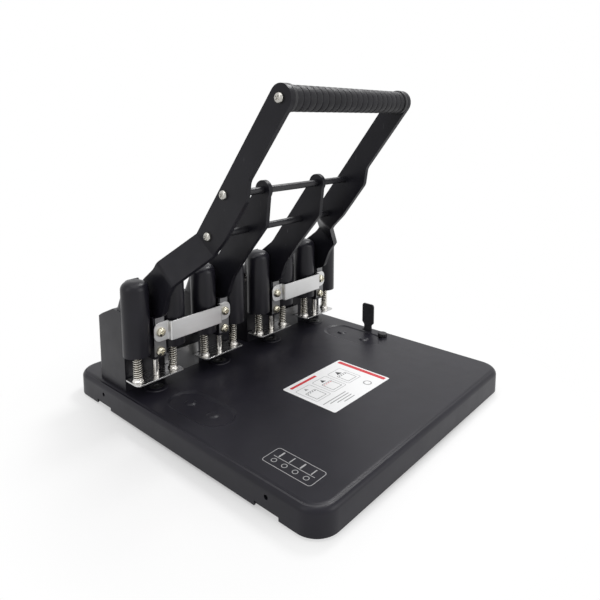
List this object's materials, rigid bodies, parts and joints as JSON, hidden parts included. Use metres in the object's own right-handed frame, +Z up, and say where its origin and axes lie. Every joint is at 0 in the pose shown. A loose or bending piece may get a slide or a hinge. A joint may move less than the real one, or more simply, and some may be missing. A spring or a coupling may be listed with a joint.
{
  "type": "four-hole punch",
  "caption": "Heavy-duty paper punch: a pan-shaped table, a row of twin-column punch heads and a wide lever on plate arms that presses every punch at once.",
  "frame": {"origin": "on the floor under the middle of the table", "axes": "+X to the user's right, +Y away from the user, +Z up"},
  "size_m": [0.306, 0.336, 0.315],
  "materials": {
    "black_paint": "semi-gloss black paint",
    "black_casting": "black coated die casting",
    "black_plastic": "moulded black plastic",
    "black_rubber": "matte",
    "zinc_sheet": "satin zinc",
    "bright_steel": "bright ground steel",
    "dull_steel": "dull grey steel",
    "yellow_zinc": "pale yellow zinc"
  },
  "bodies": {
    "base": {"base_pan": "black_paint", "rubber_feet": "black_rubber", "die_bushes": "dull_steel", "punch_housing_1": "black_casting", "punch_housing_2": "black_casting", "punch_housing_3": "black_casting", "punch_housing_4": "black_casting", "pivot_pin_1": "bright_steel", "pivot_pin_2": "bright_steel", "pivot_pin_3": "bright_steel", "pivot_pin_4": "bright_steel", "stripper_plate_1": "zinc_sheet", "stripper_plate_2": "zinc_sheet", "stripper_plate_3": "zinc_sheet", "stripper_plate_4": "zinc_sheet", "guide_posts_1": "bright_steel", "guide_posts_2": "bright_steel", "guide_posts_3": "bright_steel", "guide_posts_4": "bright_steel", "post_nuts": "bright_steel", "housing_bolts": "dull_steel", "paper_stop_left": "dull_steel", "paper_stop_right": "dull_steel", "stop_screws": "dull_steel", "return_springs_1": "bright_steel", "return_springs_2": "bright_steel", "return_springs_3": "bright_steel", "return_springs_4": "bright_steel"},
    "chip_tray": {"chip_tray": "black_plastic"},
    "side_guide": {"side_guide": "black_paint"},
    "lock_knob": {"guide_knob": "black_plastic"},
    "lever": {"lever_arm_outer_left": "black_paint", "lever_arm_inner_left": "black_paint", "lever_arm_inner_right": "black_paint", "lever_arm_outer_right": "black_paint", "upper_rod": "black_paint", "lower_rod": "black_paint", "grip_core": "dull_steel", "grip_sleeve": "black_plastic", "grip_collars": "black_plastic", "lever_screws": "yellow_zinc"},
    "punches_left": {"crosshead_1": "black_casting", "crosshead_2": "black_casting", "punch_pin_1": "bright_steel", "punch_pin_2": "bright_steel", "front_strip_1": "dull_steel", "front_strip_2": "dull_steel", "strap_left": "zinc_sheet", "strap_screws_left": "yellow_zinc", "pin_screws_left": "yellow_zinc"},
    "punches_right": {"crosshead_3": "black_casting", "crosshead_4": "black_casting", "punch_pin_3": "bright_steel", "punch_pin_4": "bright_steel", "front_strip_3": "dull_steel", "front_strip_4": "dull_steel", "strap_right": "zinc_sheet", "strap_screws_right": "yellow_zinc", "pin_screws_right": "yellow_zinc"}
  },
  "joints": [
    {"name": "lever_swing", "type": "hinge", "parent": "base", "child": "lever", "pos_m": [0, 0.086, 0.1036], "axis": [1, 0, 0], "range_deg": [0, 32.18], "stiffness_Nm_per_rad": 10, "springref_deg": -34.38},
    {"name": "punches_left_slide", "type": "slide", "parent": "base", "child": "punches_left", "axis": [0, 0, -1], "range_m": [0, 0.015], "deforming": ["return_springs_1", "return_springs_2"]},
    {"name": "punches_right_slide", "type": "slide", "parent": "base", "child": "punches_right", "axis": [0, 0, -1], "range_m": [0, 0.015], "deforming": ["return_springs_3", "return_springs_4"]},
    {"name": "side_guide_slide", "type": "slide", "parent": "base", "child": "side_guide", "axis": [-1, 0, 0], "range_m": [0, 0.004]},
    {"name": "lock_knob_turn", "type": "hinge", "parent": "side_guide", "child": "lock_knob", "pos_m": [0.136, -0.027, 0.0255], "axis": [0, 0, 1], "range_deg": [0, 180]},
    {"name": "chip_tray_pull", "type": "slide", "parent": "base", "child": "chip_tray", "axis": [0, 0, -1], "range_m": [0, 0.02]}
  ],
  "couplings": [
    {"joint": "punches_left_slide", "follows": "lever_swing", "m_per_rad": 0.026705},
    {"joint": "punches_right_slide", "follows": "lever_swing", "m_per_rad": 0.026705}
  ]
}
